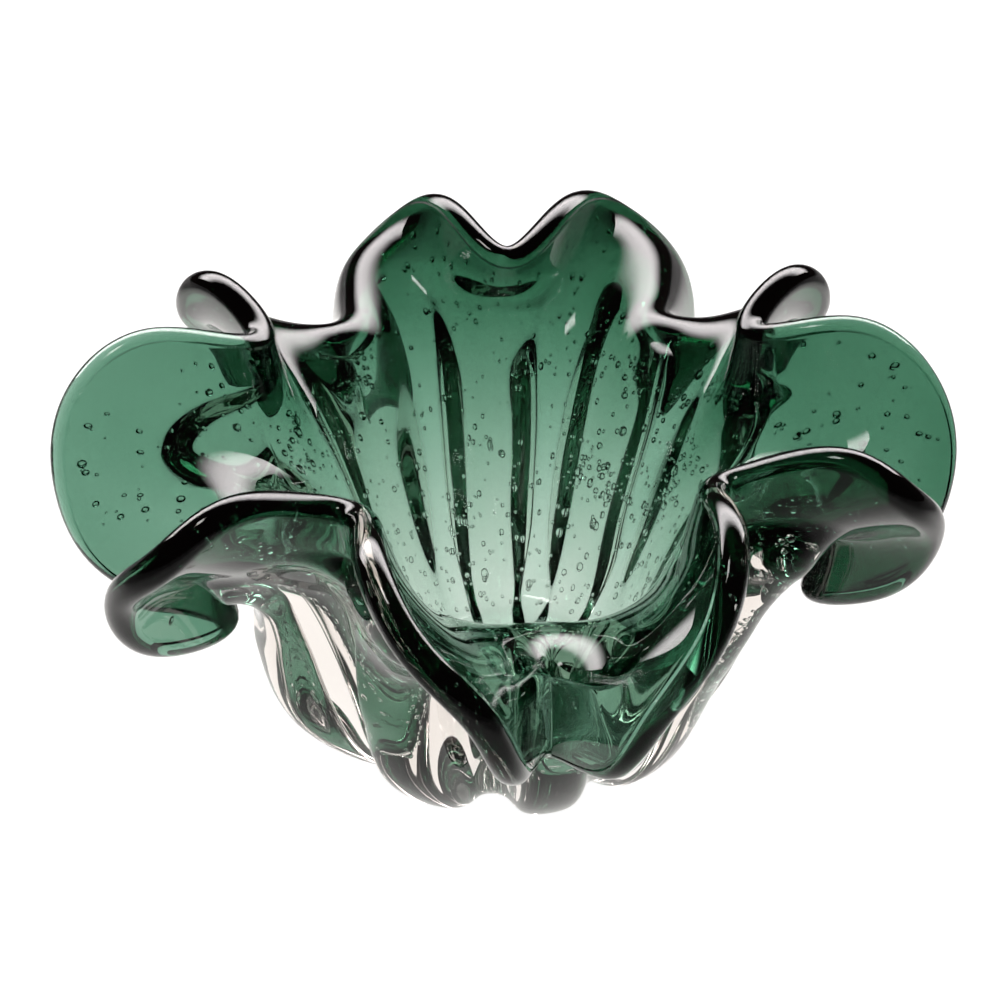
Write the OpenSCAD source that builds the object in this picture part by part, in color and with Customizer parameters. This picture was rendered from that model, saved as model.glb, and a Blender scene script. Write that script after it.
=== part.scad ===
// Art glass bowl: a green gather cased in clear glass, pressed into ten ribs that run down
// into ten toes, with the hot rim pinched in at five folds and let down between them into
// five lobes, each split by a small cleft. Millimetres, Z up, origin on the table at the
// middle of the foot; the folds stand near 90, 162, 234, 306 and 18 degrees.

/* [Bowl] */
// height of the guide point under the inside floor
floor_z = 19; // [18:0.5:20]
// radius of the flat of the inside floor
floor_r = 31; // [28:0.5:33]
// lift of all the free rim above its usual height
rim_lift = 0; // [-2:0.5:1]
// added reach of the lobes
lobe_reach = 0; // [-3:0.5:3]

/* [Glass] */
// thickness of the glass at the rim
rim_t = 8.4; // [7.6:0.1:8.6]
// how much the glass skins shift at folds and clefts
fold_shift = 1.2; // [1.1:0.1:1.3]
// added thickness of the clear casing low in the wall
casing_add = 0; // [0:0.5:2]
// depth factor of the ribs
rib_gain = 1; // [0.8:0.05:1.1]

/* [Folds] */
// bearing of the back fold
fold_at = 93.7; // [91.5:0.1:95]
// bearing of the front rib
rib_at = 279.5; // [278:0.5:284]

/* [Hidden] */
// the foot stands a little off the middle of the whole outline, which is over the origin
middle = [1.4, 1.9, 0];
// Each guide row holds [radius, bearing from the fold, height] at six stations of half a
// lobe: the fold, its flank, the shoulder, the tongue, the tip and the cleft.
function even_row(r, z) = [for (i = [0:5]) [r, 7.2 * i, z]];
hip_row = [[62, 0, 84], [64, 7.5, 82], [65, 15, 82], [65, 22, 82], [64, 29, 82], [62, 36, 82]];
crest_row = [[67, 0, 98], [75, 9, 92], [80, 16.5, 91], [81, 23, 91], [79, 29.5, 90], [75, 36, 90]];
lip_row = [[64, 0, 106], [88, 10.5, 113], [103, 17, 107], [109, 25, 99], [103, 29, 87], [82, 36, 86]];
rim_row = [[61, 0, 108], [94.5, 10, 127], [116, 15.5, 109], [118, 25.5, 95], [112, 28, 67], [72, 36, 60]];
guides = [
    [for (i = [0:5]) [0, 0, floor_z]],
    even_row(floor_r / 2, floor_z),
    even_row(floor_r, floor_z + 1),
    even_row(floor_r + 9, 40),
    even_row(50, 62),
    hip_row, crest_row, lip_row, rim_row
];
last = len(guides) - 1;

// Hand-worked differences of the ten half lobes, counter-clockwise from the back fold:
// [reach, turn, lift, droop] of each, the turn and reach of each fold, and the crest of each lobe.
half_lobe = [[-2, -2, -3, 0], [0, 2, 0, 10], [2, 2, 6, 0], [4, -4, 7, 0], [4, 4, 9, 0],
             [-6, -1, -1, 0], [-4, 2, 8, 0], [-2, -2, -3, 0], [-4, -2, -1, 10], [8, 3, -6, 0]];
fold_turn = [-1, -2, -2, 5, 1];
fold_reach = [0, 3, 4, 0, 0];
crest_lift = [9, 0, -2, 0, 9];
// the back fold is only a crease in the rim: the wall under it stands this much further out
back_fill = [0, 0, 0, 0, 0.5, 2.5, 5, 2, 0];

// how much of those differences each guide row and each station takes
row_share = [0, 0, 0, 0, 0, 0.1, 0.3, 0.7, 1];
crest_share = [0, 0, 0, 0, 0.1, 0.6, 1, 0.6, 0];
station_share = [0, 0.5, 1, 1, 1, 0];
droop_station = [0, 0, 0.7, 1, 0.5, 0];
crest_station = [0, 0.2, 0.6, 1, 1, 1];

// Glass outside the middle sheet, by guide row. The clear casing, what more of it ran to one
// side and that side's bearing, then the depth of the ribs on it.
half_t = rim_t / 2;
casing = [5, 9.5, 19.9, 17, 12.5, 7.3, 2, half_t, half_t];
casing_more = [0, 0, -0.7, 6, 4, 0, 0, 0, 0];
casing_at = 165;
rib_depth = [0, 6, 0.5, 9, 9, 9, 6, 4.5, 0];
// the ribs lean over by this many degrees at their tops, most at this bearing
rib_lean = 5.5;
lean_at = 116;
// where the green gather stops, what more of it ran to one side and that side's bearing
green_to = [-3, -3, -3, -2.7, -1.9, -0.8, 0.3, 0.6, 0.6];
green_more = [0, 0, 0, 0.2, 0.6, 1.2, 1.7, 1.9, 1.9];
thick_at = 75;
// the casing and its ribs step down where the mould ended, under the free rim
mould_step = 4;
// and the casing is pinched thinner in the folds and clefts
fold_pinch = 5;
// the thinnest the clear casing gets over the green
least_clear = 1.5;

// One guide point: row v, column j of fifty; each lobe has ten columns and mirrors at its cleft.
function guide(v, j) =
    let (half = floor(j / 5), lobe = floor(j / 10), mirrored = half % 2,
         i = mirrored ? 5 - j % 5 : j % 5,
         g = guides[v][i], own = half_lobe[half], share = row_share[v],
         q = station_share[i] * share, fold = (lobe + mirrored) % 5,
         near_fold = i == 0 ? 1 : i == 1 ? 0.5 : 0,
         r = g[0] + q * (own[0] + lobe_reach) + share * near_fold * fold_reach[fold]
             + (i == 0 && fold == 0 ? back_fill[v] : 0),
         turn = g[1] + q * own[1],
         bearing = fold_at + 72 * (lobe + mirrored) + (mirrored ? -turn : turn)
                   + (i < 2 ? fold_turn[fold] * share : 0),
         z = g[2] + q * own[2] + share * (rim_lift - droop_station[i] * own[3])
             + crest_lift[lobe] * crest_share[v] * crest_station[i])
    [r * cos(bearing), r * sin(bearing), z];

net = [for (v = [0:last]) [for (j = [0:49]) guide(v, j)]];
// a mirrored row before the centre and a straight-on row past the rim close the net
below = [for (j = [0:49]) net[1][(j + 25) % 50]];
beyond = [for (j = [0:49]) 2 * net[last][j] - net[last - 1][j]];
full_net = concat([below], net, [beyond]);

// uniform cubic spline weights and their slopes
function weights(t) = [pow(1 - t, 3), 3 * t * t * t - 6 * t * t + 4,
                       -3 * t * t * t + 3 * t * t + 3 * t + 1, t * t * t] / 6;
function slopes(t) = [-pow(1 - t, 2), 3 * t * t - 4 * t, -3 * t * t + 2 * t + 1, t * t] / 2;
function span(v) = min(floor(v), last - 1);
function blend(list, w, at) = w * [for (k = [0:3]) list[at + k]];
function ends(list) = concat([list[1]], list, [2 * list[last] - list[last - 1]]);
function along(list, v) = blend(ends(list), weights(v - span(v)), span(v));

// where the skins are sampled: around half a lobe, and up from the centre to the rim
half_steps = [0.2, 0.2, 0.25, 0.3, 0.35, 0.4, 0.45, 0.5, 0.5, 0.45, 0.4, 0.35, 0.35, 0.3];
function sum_to(list, n) = n == 0 ? 0 : list[n - 1] + sum_to(list, n - 1);
half_at = [for (i = [0:13]) sum_to(half_steps, i)];
around = [for (k = [0:4]) each concat(
    [for (i = [0:13]) 10 * k + half_at[i]],
    [for (i = [14:-1:1]) 10 * k + 10 - sum_to(half_steps, i)])];
inside_at = [0, 0.9, 1.5, 1.8, 2.1, 2.4, 2.8, 3.3, 3.8, 4.3, 4.8,
             5.25, 5.6, 5.95, 6.3, 6.65, 7, 7.35, 7.7, 7.9, 8];
outside_at = [0, 0.9, 1.45, 1.7, 1.9, 2.2, 2.6, 3.1, 3.7, 4.3, 4.9, 5.4, 5.8, 6.2, 6.6, 7, 7.5, 8];
cap_steps = 4;
bead_steps = 6;

function ease(a, b, x) = let (t = max(0, min(1, (x - a) / (b - a)))) t * t * (3 - 2 * t);
function shift(u, v) = fold_shift * cos(36 * u) * ease(4.5, 6.5, v);
function moulded(v) = 1 - ease(6.15, 6.75, v);
function off(u, bearing) = (fold_at + 7.2 * u - bearing + 180) % 360 - 180;
function lean(u, v) = rib_lean * exp(-pow(off(u, lean_at) / 26, 2)) * ease(2, 6, v);
function rib(u, v) = let (c = cos(10 * (fold_at + 7.2 * u + lean(u, v) - rib_at)) + 0.35)
    1.22 * c / sqrt(c * c + 0.5);
function pinched(u, v) = pow(cos(36 * u), 2) * ease(4.2, 5.4, v) * (1 - ease(6, 6.7, v));
function green_by(u, v) = along(green_to, v)
    + along(green_more, v) * cos(fold_at + 7.2 * u - thick_at) - shift(u, v);
function outer_by(u, v) = max(green_by(u, v) + least_clear,
    along(casing, v) + along(casing_more, v) * cos(fold_at + 7.2 * u - casing_at)
    + casing_add * ease(1, 2, v) * (1 - ease(4.5, 6.5, v))
    + moulded(v) * (mould_step + rib_gain * along(rib_depth, v) * rib(u, v))
    - fold_pinch * pinched(u, v) - shift(u, v));

// the middle sheet at one station: [point, outward normal, direction toward the rim]
function sheet(u, v) =
    let (j = floor(u), bu = weights(u - j), du = slopes(u - j), at = span(v), t = v - at,
         rows = [for (k = [0:3]) [for (m = [0:3]) full_net[at + k][(j + 49 + m) % 50]]],
         lines = [for (k = [0:3]) bu * rows[k]],
         cross_lines = [for (k = [0:3]) du * rows[k]],
         p = middle + weights(t) * lines,
         pu = weights(t) * cross_lines,
         pv = slopes(t) * lines,
         n = v == 0 ? [0, 0, -1] : cross(pu, pv) / norm(cross(pu, pv)),
         along_v = pv - (pv * n) * n)
    [p, n, along_v / norm(along_v)];

function on_table(p) = [p[0], p[1], max(0, p[2])];
function inner_point(u, v) = let (s = sheet(u, v)) s[0] - (half_t + shift(u, v)) * s[1];
function outer_point(u, v) = let (s = sheet(u, v)) on_table(s[0] + outer_by(u, v) * s[1]);
function seam_point(u, v) = let (s = sheet(u, v)) s[0] + green_by(u, v) * s[1];
// the round end of the green inside the rim, and the clear bead around it; a runs from the
// inner skin over the rim to the outer side
function cap_point(u, a) =
    let (s = sheet(u, last), inside = -half_t - shift(u, last),
         mid = (green_by(u, last) + inside) / 2, wide = (green_by(u, last) - inside) / 2)
    s[0] + (mid - wide * cos(a)) * s[1] + 0.5 * wide * sin(a) * s[2];
function bead_point(u, a) =
    let (s = sheet(u, last))
    s[0] - (half_t * cos(a) + shift(u, last)) * s[1] + half_t * sin(a) * s[2];

inner_skin = [for (v = inside_at) [for (u = around) inner_point(u, v)]];
seam_skin = [for (v = inside_at) [for (u = around) seam_point(u, v)]];
outer_skin = [for (v = outside_at) [for (u = around) outer_point(u, v)]];
cap_skin = [for (k = [1:cap_steps - 1]) [for (u = around) cap_point(u, 180 * k / cap_steps)]];
bead_skin = [for (k = [1:bead_steps - 1]) [for (u = around) bead_point(u, 180 * k / bead_steps)]];

function turned(list) = [for (i = [len(list) - 1:-1:0]) list[i]];

// closes a run of rings whose first and last ring are single points
module ring_solid(rings) {
    n = len(around);
    m = len(rings) - 2;
    points = concat([rings[0][0]], [for (k = [1:m]) each rings[k]], [rings[m + 1][0]]);
    function at(k, j) = 1 + (k - 1) * n + j % n;
    top = [for (j = [0:n - 1]) [0, at(1, j + 1), at(1, j)]];
    sides = [for (k = [1:m - 1]) for (j = [0:n - 1])
        each [[at(k, j), at(k, j + 1), at(k + 1, j + 1)], [at(k, j), at(k + 1, j + 1), at(k + 1, j)]]];
    end = [for (j = [0:n - 1]) [at(m, j), at(m, j + 1), 1 + m * n]];
    polyhedron(points = points, faces = concat(top, sides, end), convexity = 12);
}

module green_gather() {
    color([0.2, 0.55, 0.42, 0.8]) ring_solid(concat(inner_skin, cap_skin, turned(seam_skin)));
}

module clear_casing() {
    color([0.9, 0.95, 0.93, 0.4])
        ring_solid(concat(seam_skin, turned(cap_skin), [inner_skin[len(inner_skin) - 1]],
                          bead_skin, turned(outer_skin)));
}

green_gather();
clear_casing();
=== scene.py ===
"""Looks of the art glass bowl: a green gather in a clear casing, with seed bubbles in the glass.

Metres, Z up, the table at Z = 0; the camera stands on the -Y side. The shape is worked out in
millimetres, from the numbers that shape the CAD, and turned into metres when a mesh is made.
"""

import math

import bpy
import numpy as np
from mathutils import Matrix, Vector


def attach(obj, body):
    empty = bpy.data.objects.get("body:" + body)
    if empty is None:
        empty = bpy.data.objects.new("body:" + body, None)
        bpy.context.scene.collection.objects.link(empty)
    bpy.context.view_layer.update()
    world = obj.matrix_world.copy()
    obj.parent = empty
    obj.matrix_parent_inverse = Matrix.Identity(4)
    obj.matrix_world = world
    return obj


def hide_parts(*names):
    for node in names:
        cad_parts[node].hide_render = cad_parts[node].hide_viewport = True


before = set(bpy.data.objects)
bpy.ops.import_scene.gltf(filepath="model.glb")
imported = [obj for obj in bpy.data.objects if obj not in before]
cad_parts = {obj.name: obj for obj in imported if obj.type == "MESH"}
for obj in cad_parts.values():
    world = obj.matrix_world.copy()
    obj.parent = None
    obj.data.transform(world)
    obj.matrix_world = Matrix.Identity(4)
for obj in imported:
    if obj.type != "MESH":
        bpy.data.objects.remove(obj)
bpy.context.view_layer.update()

# ---------------------------------------------------------------- shape, in millimetres and degrees
# bearings of the first fold, the first rib, the thickest casing and the thickest green
FOLD_AT, RIB_AT, CASING_AT, THICK_AT = 93.7, 279.5, 165, 75
# the ribs lean by this much near one bearing, and fade into the lobes between these rows
LEAN, LEAN_AT, LEAN_SPREAD, MOULD_END = 5.5, 116, 26, (6.15, 6.75)
# half the thickness of the rim, how far the skins move at a fold, the step that the ribs stand on,
# how far a fold pinches the casing, and the least clear glass over the green
HALF_T, FOLD_SHIFT, MOULD_STEP, FOLD_PINCH, LEAST_CLEAR = 4.2, 1.2, 4, 5, 1.5
# the middle of the foot
MIDDLE = np.array([1.4, 1.9, 0.0])
# the spline net: columns round the bowl, each a step of bearing, and rows up to the rim
COLUMNS, STEP, LAST = 50, 7.2, 8
# gap between the two copies of the seam, and the swell of the worked surfaces
GAP, OUTER_WAVE, INNER_WAVE = 0.04, 0.1, 0.08


def even_row(r, z):
    return [[r, STEP * i, z] for i in range(6)]


# Guide rows from the centre to the rim: [radius, bearing from the fold, height] at six
# stations of half a lobe, from the fold to the cleft.
GUIDES = [
    [[0, 0, 19]] * 6,
    even_row(15.5, 19),
    even_row(31, 20),
    even_row(40, 40),
    even_row(50, 62),
    [[62, 0, 84], [64, 7.5, 82], [65, 15, 82], [65, 22, 82], [64, 29, 82], [62, 36, 82]],
    [[67, 0, 98], [75, 9, 92], [80, 16.5, 91], [81, 23, 91], [79, 29.5, 90], [75, 36, 90]],
    [[64, 0, 106], [88, 10.5, 113], [103, 17, 107], [109, 25, 99], [103, 29, 87], [82, 36, 86]],
    [[61, 0, 108], [94.5, 10, 127], [116, 15.5, 109], [118, 25.5, 95], [112, 28, 67], [72, 36, 60]],
]
# hand-worked differences of the ten half lobes: reach, turn, lift and droop
HALF_LOBE = [[-2, -2, -3, 0], [0, 2, 0, 10], [2, 2, 6, 0], [4, -4, 7, 0], [4, 4, 9, 0],
             [-6, -1, -1, 0], [-4, 2, 8, 0], [-2, -2, -3, 0], [-4, -2, -1, 10], [8, 3, -6, 0]]
FOLD_TURN = [-1, -2, -2, 5, 1]
FOLD_REACH = [0, 3, 4, 0, 0]
CREST_LIFT = [9, 0, -2, 0, 9]
# the wall under the back fold stands further out by this much, by guide row
BACK_FILL = [0, 0, 0, 0, 0.5, 2.5, 5, 2, 0]
# how far each row, and each station, takes part in the differences above
ROW_SHARE = [0, 0, 0, 0, 0, 0.1, 0.3, 0.7, 1]
CREST_SHARE = [0, 0, 0, 0, 0.1, 0.6, 1, 0.6, 0]
STATION_SHARE = [0, 0.5, 1, 1, 1, 0]
DROOP_STATION = [0, 0, 0.7, 1, 0.5, 0]
CREST_STATION = [0, 0.2, 0.6, 1, 1, 1]
NEAR_FOLD = [1, 0.5, 0, 0, 0, 0]
# glass outside the middle sheet, by guide row
CASING = [5, 9.5, 19.9, 17, 12.5, 7.3, 2, 4.2, 4.2]
CASING_MORE = [0, 0, -0.7, 6, 4, 0, 0, 0, 0]
RIB_DEPTH = [0, 6, 0.5, 9, 9, 9, 6, 4.5, 0]
GREEN_TO = [-3, -3, -3, -2.7, -1.9, -0.8, 0.3, 0.6, 0.6]
GREEN_MORE = [0, 0, 0, 0.2, 0.6, 1.2, 1.7, 1.9, 1.9]

# ---------------------------------------------------------------- looks and light
GLASS_IOR, FUSED_IOR = 1.5, 1.0
GREEN_COLOR, GREEN_DENSITY = (0.2, 0.51, 0.375), 660.0
CLEAR_COLOR, CLEAR_DENSITY = (0.9, 0.88, 0.86), 30.0
# noise scales per metre, the height of the ripples, and the roughness of the least polished spots
RIPPLE_SCALE, RIPPLE_HEIGHT, POLISH_SCALE, ROUGHEST = 42.0, 0.001, 70.0, 0.05

# the painted pool of light that the table emits round the bowl: radius where it starts to fade and where it
# ends, and the light at each
DISC_FROM, DISC_TO, POOL_PAINTED_LIGHT, DISC_END = 0.22, 0.48, 1.06, 0.02
# painted shade: in front of the bowl the table emits less, between these places on Y
FRONT_FROM, FRONT_TO, FRONT_PAINTED_SHADE = -0.16, 0.0, 0.2
TABLE_COLOR = (1, 0.98, 0.955)
TABLE_SIDE, TABLE_DROP, TABLE_GREY = 2.5, 0.0005, 0.15
DARK_CARDS = (0.025, 0.018, 0.018)
BOX_COLOR, BOX_FADE = (1, 0.95, 0.955), 0.42
# name, place, target, size and power of each soft box
BOXES = [
    ("back_box", (0, 0.85, 0.74), (0, 0, 0.1), (2.7, 0.9), 70.0),
    ("overhead", (-0.3, -0.1, 1.3), (0, 0, 0), (0.3, 0.3), 3.0),
]
CAMERA_AT, CAMERA_DOWN, CAMERA_LENS = (-0.0032, -0.4914, 0.4194), 34.7, 79.12


# ---------------------------------------------------------------- the middle sheet
def guide(v, j):
    """Point of the spline net in row v and column j."""
    half, lobe = j // 5, j // 10
    mirrored = half % 2
    i = 5 - j % 5 if mirrored else j % 5
    base, own, share = GUIDES[v][i], HALF_LOBE[half], ROW_SHARE[v]
    q = STATION_SHARE[i] * share
    fold = (lobe + mirrored) % 5
    r = base[0] + q * own[0] + share * NEAR_FOLD[i] * FOLD_REACH[fold]
    turn = base[1] + q * own[1]
    if i == 0 and fold == 0:
        r += BACK_FILL[v]
    bearing = FOLD_AT + 72 * (lobe + mirrored) + (-turn if mirrored else turn)
    if i < 2:
        bearing += FOLD_TURN[fold] * share
    z = base[2] + q * own[2] - share * DROOP_STATION[i] * own[3]
    z += CREST_LIFT[lobe] * CREST_SHARE[v] * CREST_STATION[i]
    return [r * math.cos(math.radians(bearing)), r * math.sin(math.radians(bearing)), z]


NET = np.array([[guide(v, j) for j in range(COLUMNS)] for v in range(LAST + 1)])
NET = np.concatenate([np.roll(NET[1], -COLUMNS // 2, 0)[None], NET, (2 * NET[-1] - NET[-2])[None]])


def weights(t):
    """Weights of the four nearest points of a uniform cubic spline."""
    return np.stack([(1 - t) ** 3, 3 * t**3 - 6 * t**2 + 4, -3 * t**3 + 3 * t**2 + 3 * t + 1, t**3], -1) / 6


def slopes(t):
    """How fast those weights change."""
    return np.stack([-((1 - t) ** 2), 3 * t**2 - 4 * t, -3 * t**2 + 2 * t + 1, t**2], -1) / 2


def along(row_values, v):
    """Smooth value at v of a quantity given at each guide row."""
    ends = np.concatenate([[row_values[1]], row_values, [2 * row_values[-1] - row_values[-2]]])
    at = np.minimum(np.floor(v).astype(int), LAST - 1)
    w = weights(v - at)
    return sum(w[..., k] * ends[at + k] for k in range(4))


def ease(a, b, x):
    t = np.clip((x - a) / (b - a), 0, 1)
    return t * t * (3 - 2 * t)


def sheet(u, v):
    """Middle sheet: point, outward normal and direction toward the rim."""
    u, v = np.broadcast_arrays(np.asarray(u, float), np.asarray(v, float))
    j = np.floor(u).astype(int)
    at = np.minimum(np.floor(v).astype(int), LAST - 1)
    bu, du, bv, dv = weights(u - j), slopes(u - j), weights(v - at), slopes(v - at)
    p, pu, pv = (np.zeros(u.shape + (3,)) for _ in range(3))
    for k in range(4):
        for m in range(4):
            c = NET[at + k, (j - 1 + m) % COLUMNS]
            p += (bv[..., k] * bu[..., m])[..., None] * c
            pu += (bv[..., k] * du[..., m])[..., None] * c
            pv += (dv[..., k] * bu[..., m])[..., None] * c
    n = np.cross(pu, pv)
    length = np.maximum(np.linalg.norm(n, axis=-1, keepdims=True), 1e-12)
    n = np.where(v[..., None] == 0, [0, 0, -1.0], n / length)
    t = pv - (pv * n).sum(-1, keepdims=True) * n
    t /= np.maximum(np.linalg.norm(t, axis=-1, keepdims=True), 1e-12)
    return p + MIDDLE, n, t


# ---------------------------------------------------------------- thickness on each side of it
def shift(u, v):
    """Both skins move inward at the folds and outward between them."""
    return FOLD_SHIFT * np.cos(np.radians(5 * STEP * u)) * ease(4.5, 6.5, v)


def toward(u, bearing):
    return np.cos(np.radians(FOLD_AT + STEP * u - bearing))


def rib(u, v):
    """Ten ribs with broad crests, near +1, and narrower grooves."""
    off = (FOLD_AT + STEP * u - LEAN_AT + 180) % 360 - 180
    lean = LEAN * np.exp(-((off / LEAN_SPREAD) ** 2)) * ease(2, 6, v)
    c = np.cos(np.radians(10 * (FOLD_AT + STEP * u + lean - RIB_AT))) + 0.35
    return 1.22 * c / np.sqrt(c * c + 0.5)


def pinched(u, v):
    return np.cos(np.radians(5 * STEP * u)) ** 2 * ease(4.2, 5.4, v) * (1 - ease(6, 6.7, v))


def wave(u, v, size, seed):
    """Slow uneven swell of a hand-worked, fire-polished surface."""
    random = np.random.default_rng(seed)
    total = np.zeros(np.broadcast(u, v).shape)
    for _ in range(14):
        around, up = random.integers(2, 17), random.uniform(0.5, 3.2)
        total += np.sin(2 * math.pi * around * u / COLUMNS + up * v + random.uniform(0, 6.3))
    return size * total / 3 * ease(0.5, 2.2, v) * (1 - ease(7, 8, v))


def green_by(u, v):
    return along(GREEN_TO, v) + along(GREEN_MORE, v) * toward(u, THICK_AT) - shift(u, v)


def outer_by(u, v):
    moulded = 1 - ease(*MOULD_END, v)
    ribbed = moulded * (MOULD_STEP + along(RIB_DEPTH, v) * rib(u, v))
    by = along(CASING, v) + along(CASING_MORE, v) * toward(u, CASING_AT) + ribbed
    by += wave(u, v, OUTER_WAVE, 3) - FOLD_PINCH * pinched(u, v) - shift(u, v)
    return np.maximum(green_by(u, v) + LEAST_CLEAR, by)


def inner_skin(u, v):
    p, n, _ = sheet(u, v)
    return p - (HALF_T + shift(u, v) + wave(u, v, INNER_WAVE, 5))[..., None] * n


def seam_skin(u, v, more=0.0):
    p, n, _ = sheet(u, v)
    return p + (green_by(u, v) + more)[..., None] * n


def outer_skin(u, v):
    p, n, _ = sheet(u, v)
    p = p + outer_by(u, v)[..., None] * n
    p[..., 2] = np.maximum(p[..., 2], 0)
    return p


def rim_point(u, across, up):
    """Point at the rim, so far across the wall and up from the last row of the sheet."""
    v = np.full_like(u, LAST)
    p, n, t = sheet(u, v)
    return p + (across - shift(u, v))[..., None] * n + (np.zeros_like(u) + up)[..., None] * t


def green_end(u, s, more=0.0):
    """Round end of the green inside the bead: s runs from the inner skin to the seam."""
    r = 0.95 * HALF_T + more
    edge = green_by(u, np.full_like(u, LAST)) + shift(u, np.full_like(u, LAST)) + more
    a = np.arccos(-edge / r) * min(1, s / 0.7)
    return rim_point(u, -r * np.cos(a), r * np.sin(a) * min(1, (1 - s) / 0.3))


# ---------------------------------------------------------------- materials
def new_material(name):
    m = bpy.data.materials.new(name)
    m.use_nodes = True
    m.node_tree.nodes.clear()
    return m, m.node_tree.nodes, m.node_tree.links


def add_node(nodes, kind, values=None, **settings):
    """New shader node, with its settings and the plain values of its sockets."""
    node = nodes.new("ShaderNode" + kind)
    for setting, value in settings.items():
        setattr(node, setting, value)
    for socket, value in (values or {}).items():
        node.inputs[socket].default_value = value
    return node


def add_fade(nodes, start, end, start_value, end_value):
    """Smooth change of a value between two limits."""
    limits = {"From Min": start, "From Max": end, "To Min": start_value, "To Max": end_value}
    return add_node(nodes, "MapRange", limits, interpolation_type="SMOOTHSTEP")


def glass(name, color=None, density=0.0, ior_from_mesh=False):
    """Fire-polished glass: soft drawn-out ripples in the skin, and a polish that varies a little."""
    m, nodes, links = new_material(name)
    out = add_node(nodes, "OutputMaterial")
    clear = {"Base Color": (1, 1, 1, 1), "IOR": GLASS_IOR, "Transmission Weight": 1.0}
    surface = add_node(nodes, "BsdfPrincipled", clear)
    place = add_node(nodes, "TexCoord")
    ripple = add_node(nodes, "TexNoise", {"Scale": RIPPLE_SCALE, "Detail": 1.0})
    bump = add_node(nodes, "Bump", {"Strength": 0.25, "Distance": RIPPLE_HEIGHT})
    worn = add_node(nodes, "TexNoise", {"Scale": POLISH_SCALE, "Detail": 4.0})
    limits = {"From Min": 0.5, "From Max": 0.8, "To Min": 0.0, "To Max": ROUGHEST}
    polish = add_node(nodes, "MapRange", limits)
    links.new(place.outputs["Object"], ripple.inputs["Vector"])
    links.new(place.outputs["Object"], worn.inputs["Vector"])
    links.new(ripple.outputs[0], bump.inputs["Height"])
    links.new(bump.outputs[0], surface.inputs["Normal"])
    links.new(worn.outputs[0], polish.inputs["Value"])
    links.new(polish.outputs["Result"], surface.inputs["Roughness"])
    links.new(surface.outputs[0], out.inputs["Surface"])
    if color:
        absorb = add_node(nodes, "VolumeAbsorption", {"Color": (*color, 1), "Density": density})
        links.new(absorb.outputs[0], out.inputs["Volume"])
    if ior_from_mesh:
        ior = add_node(nodes, "Attribute", attribute_name="ior")
        links.new(ior.outputs["Fac"], surface.inputs["IOR"])
    return m


# ---------------------------------------------------------------- the two layers of glass
US = np.arange(0, COLUMNS, 0.08)
IN_ROWS, SEAM_ROWS, OUT_ROWS = ((84, 40, 96))
END_ARC = np.linspace(0, math.pi, 13)[1:-1]


def rows(count):
    """Rows from the middle to the rim; the first is a single point."""
    return np.concatenate([[0], np.linspace(0.15, LAST, count)])


def grid(skin, count):
    u, v = np.meshgrid(US, rows(count))
    return list(skin(u, v))


def ring_solid(name, rings, material, first_ior, first_faces, other_ior):
    """Closes rings of points, whose first and last are single points, into one solid.

    Its first faces have one index of refraction and all the others another.
    """
    n, m = len(rings[0]), len(rings) - 2
    points = np.concatenate([rings[0][:1]] + list(rings[1:-1]) + [rings[-1][:1]]) / 1000
    j = np.arange(n)
    k = (j + 1) % n
    faces = np.stack([np.zeros(n, int), 1 + j, 1 + k], 1).tolist()
    for r in range(m - 1):
        low, high = 1 + r * n, 1 + (r + 1) * n
        faces += np.stack([low + k, low + j, high + j, high + k], 1).tolist()
    end = 1 + (m - 1) * n
    faces += np.stack([end + k, end + j, np.full(n, 1 + m * n)], 1).tolist()
    mesh = bpy.data.meshes.new(name)
    mesh.from_pydata(points.tolist(), [], faces)
    mesh.shade_smooth()
    mesh.materials.append(material)
    obj = bpy.data.objects.new(name, mesh)
    bpy.context.scene.collection.objects.link(obj)
    ior = np.full(len(mesh.polygons), other_ior, np.float32)
    ior[:first_faces] = first_ior
    mesh.attributes.new("ior", "FLOAT", "FACE").data.foreach_set("value", ior)
    return obj


inner = grid(inner_skin, IN_ROWS)
seam = grid(seam_skin, SEAM_ROWS)
cap = [green_end(US, a / math.pi) for a in END_ARC]
seam_out = grid(lambda u, v: seam_skin(u, v, GAP), SEAM_ROWS)
cap_out = [green_end(US, a / math.pi, GAP) for a in END_ARC]
outer = grid(outer_skin, OUT_ROWS)
bead = [rim_point(US, -HALF_T * math.cos(a), HALF_T * math.sin(a)) for a in END_ARC]

green_glass = glass("green_glass", GREEN_COLOR, GREEN_DENSITY, True)
clear_glass = glass("clear_glass", CLEAR_COLOR, CLEAR_DENSITY, True)
# the two glasses are fused at the seam, so light bends only where glass meets air
green = ring_solid("green_gather_glass", inner + cap + seam[::-1], green_glass,
                   GLASS_IOR, len(US) * IN_ROWS, FUSED_IOR)
clear = ring_solid("clear_casing_glass", seam_out + cap_out[::-1] + [inner[-1]] + bead + outer[::-1],
                   clear_glass, FUSED_IOR, len(US) * (SEAM_ROWS + 1 + len(END_ARC)), GLASS_IOR)


# ---------------------------------------------------------------- seed bubbles
def ball(rings=5, around=8):
    """Points of a small round ball, and its faces wound inward, for air inside glass."""
    points = [[0, 0, 1]]
    for r in range(1, rings):
        down = math.pi * r / rings
        for s in range(around):
            turn = 2 * math.pi * s / around
            points.append([math.sin(down) * math.cos(turn), math.sin(down) * math.sin(turn), math.cos(down)])
    points.append([0, 0, -1])
    faces = [[0, 1 + (s + 1) % around, 1 + s] for s in range(around)]
    for r in range(rings - 2):
        for s in range(around):
            a, b = 1 + r * around + s, 1 + r * around + (s + 1) % around
            faces.append([a, b, b + around, a + around])
    end = 1 + (rings - 2) * around
    faces += [[end + s, end + (s + 1) % around, len(points) - 1] for s in range(around)]
    return np.array(points, float), faces


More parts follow.
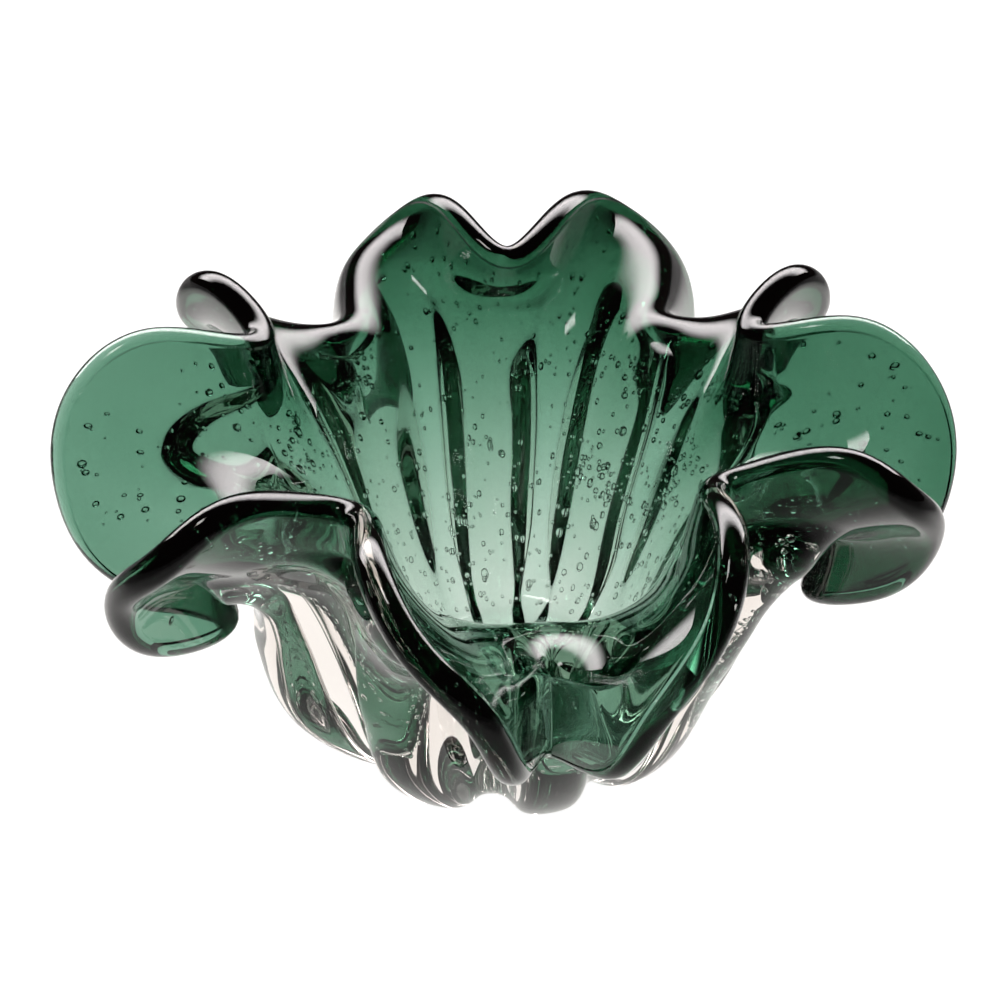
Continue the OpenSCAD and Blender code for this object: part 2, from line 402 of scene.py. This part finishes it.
def seed_bubbles(count, knots=60):
    """Bubbles through both layers, about a third of them in loose clusters, drawn out toward the rim."""
    rng = np.random.default_rng(7)
    u = rng.uniform(0, COLUMNS, count)
    v = 1.7 + 6 * rng.random(count) ** 0.85
    knot = rng.integers(0, knots, count)
    knot_u, knot_v = rng.uniform(0, COLUMNS, knots), rng.uniform(2.6, 6.2, knots)
    clustered = rng.random(count) < 0.35
    u = np.where(clustered, (knot_u[knot] + rng.normal(0, 0.6, count)) % COLUMNS, u)
    v = np.clip(np.where(clustered, knot_v[knot] + rng.normal(0, 0.14, count), v), 1.7, 7.7)
    p, n, t = sheet(u, v)
    kind = rng.random(count)
    size = np.where(kind < 0.4, rng.uniform(0.55, 0.9, count), rng.uniform(0.32, 0.55, count))
    size = np.where(kind < 0.06, rng.uniform(0.9, 1.25, count), size)
    # how deep in the glass: never through a skin, mostly near the inside
    green_t = HALF_T + green_by(u, v) + shift(u, v)
    room = np.maximum(np.minimum(outer_by(u, v) + HALF_T, green_t + 3), green_t) - 2 * size - 0.8
    deep = size + 0.4 + rng.random(count) ** 1.5 * np.maximum(room, 0)
    centre = inner_skin(u, v) + deep[:, None] * n
    side = np.cross(n, t)
    unit, unit_faces = ball()
    points, faces = [], []
    for i in range(count):
        long = size[i] * rng.uniform(1.0, 1.7)
        shape = np.stack([side[i] * size[i], t[i] * long, n[i] * size[i] * 0.9])
        points.append(centre[i] + unit @ shape)
        faces += [[corner + i * len(unit) for corner in face] for face in unit_faces]
    mesh = bpy.data.meshes.new("seed_bubbles")
    mesh.from_pydata((np.concatenate(points) / 1000).tolist(), [], faces)
    mesh.shade_smooth()
    mesh.materials.append(glass("bubble_wall"))
    obj = bpy.data.objects.new("seed_bubbles", mesh)
    bpy.context.scene.collection.objects.link(obj)
    return obj


bubbles = seed_bubbles(2700)

for piece, node, slot in ((green, "green_gather", "green_glass"), (clear, "clear_casing", "clear_glass")):
    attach(piece, "root")
    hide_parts(node)
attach(bubbles, "root")


# ---------------------------------------------------------------- studio
def table_material():
    """Plain white to the camera. For other light, the table emits a painted pool of light round the bowl,
    with painted shade in front.
    """
    m, nodes, links = new_material("pale_floor")
    out = add_node(nodes, "OutputMaterial")
    matt = add_node(nodes, "BsdfDiffuse", {"Color": (TABLE_GREY, TABLE_GREY, TABLE_GREY, 1)})
    place = add_node(nodes, "TexCoord")
    # painted light: the table's glow fades away from the bowl, and painted shade dims it in front
    far = add_node(nodes, "VectorMath", operation="LENGTH")
    disc = add_fade(nodes, DISC_FROM, DISC_TO, POOL_PAINTED_LIGHT, DISC_END)
    split = add_node(nodes, "SeparateXYZ")
    front = add_fade(nodes, FRONT_FROM, FRONT_TO, FRONT_PAINTED_SHADE, 1)
    both = add_node(nodes, "Math", operation="MULTIPLY")
    lit = add_node(nodes, "Emission", {"Color": (*TABLE_COLOR, 1)})
    white = add_node(nodes, "Emission", {"Color": (1, 1, 1, 1)})
    path = add_node(nodes, "LightPath")
    mix = add_node(nodes, "MixShader")
    add = add_node(nodes, "AddShader")
    links.new(place.outputs["Object"], far.inputs[0])
    links.new(far.outputs["Value"], disc.inputs["Value"])
    links.new(place.outputs["Object"], split.inputs[0])
    links.new(split.outputs["Y"], front.inputs["Value"])
    links.new(disc.outputs["Result"], both.inputs[0])
    links.new(front.outputs["Result"], both.inputs[1])
    links.new(both.outputs[0], lit.inputs["Strength"])
    links.new(path.outputs["Is Camera Ray"], mix.inputs["Fac"])
    links.new(lit.outputs[0], mix.inputs[1])
    links.new(white.outputs[0], mix.inputs[2])
    links.new(mix.outputs[0], add.inputs[0])
    links.new(matt.outputs[0], add.inputs[1])
    links.new(add.outputs[0], out.inputs["Surface"])
    return m


def table():
    mesh = bpy.data.meshes.new("floor")
    corners = [(-1, -1), (1, -1), (1, 1), (-1, 1)]
    mesh.from_pydata([(TABLE_SIDE * x, TABLE_SIDE * y, -TABLE_DROP) for x, y in corners], [], [(0, 1, 2, 3)])
    mesh.materials.append(table_material())
    obj = bpy.data.objects.new("floor", mesh)
    bpy.context.scene.collection.objects.link(obj)


def surroundings():
    """Plain white to the camera, and dark cards for other light."""
    world = bpy.data.worlds.new("studio")
    bpy.context.scene.world = world
    world.use_nodes = True
    nodes, links = world.node_tree.nodes, world.node_tree.links
    nodes.clear()
    out = add_node(nodes, "OutputWorld")
    dark = add_node(nodes, "Background", {"Color": (*DARK_CARDS, 1)})
    white = add_node(nodes, "Background", {"Color": (1, 1, 1, 1)})
    mix = add_node(nodes, "MixShader")
    path = add_node(nodes, "LightPath")
    links.new(path.outputs["Is Camera Ray"], mix.inputs["Fac"])
    links.new(dark.outputs[0], mix.inputs[1])
    links.new(white.outputs[0], mix.inputs[2])
    links.new(mix.outputs[0], out.inputs["Surface"])


def aim(obj, at, target):
    obj.location = at
    obj.rotation_euler = (Vector(target) - Vector(at)).to_track_quat("-Z", "Y").to_euler()


def soft_box(name, at, target, size, power):
    """Box light that is brightest along its middle and dies away to its long edges."""
    data = bpy.data.lights.new(name, "AREA")
    data.shape = "RECTANGLE"
    data.size, data.size_y = size
    data.energy = power
    data.color = BOX_COLOR
    obj = bpy.data.objects.new(name, data)
    bpy.context.scene.collection.objects.link(obj)
    obj.visible_camera = False
    aim(obj, at, target)
    data.use_nodes = True
    nodes, links = data.node_tree.nodes, data.node_tree.links
    nodes.clear()
    out = add_node(nodes, "OutputLight")
    glow = add_node(nodes, "Emission")
    here = add_node(nodes, "NewGeometry")
    split = add_node(nodes, "SeparateXYZ")
    edge = add_node(nodes, "Math", operation="PINGPONG")
    edge.inputs[1].default_value = 0.5
    fade = add_fade(nodes, 0.0, BOX_FADE, 0, 1)
    links.new(here.outputs["Parametric"], split.inputs[0])
    links.new(split.outputs["Y"], edge.inputs[0])
    links.new(edge.outputs[0], fade.inputs["Value"])
    links.new(fade.outputs["Result"], glow.inputs["Strength"])
    links.new(glow.outputs[0], out.inputs["Surface"])


table()
surroundings()
for box in BOXES:
    soft_box(*box)

cam_data = bpy.data.cameras.new("camera")
cam_data.lens = CAMERA_LENS
cam_data.sensor_width = 36
cam_data.clip_start = 0.01
cam_data.dof.use_dof = False
cam = bpy.data.objects.new("camera", cam_data)
cam.location = CAMERA_AT
cam.rotation_euler = (math.radians(90 - CAMERA_DOWN), 0, 0)
scene = bpy.context.scene
scene.collection.objects.link(cam)
scene.camera = cam

# glass needs many bounces before its light is right
scene.view_settings.view_transform = "Standard"
scene.cycles.max_bounces = 40
scene.cycles.transmission_bounces = 40
scene.cycles.glossy_bounces = 24
scene.cycles.diffuse_bounces = 4
scene.cycles.transparent_max_bounces = 48
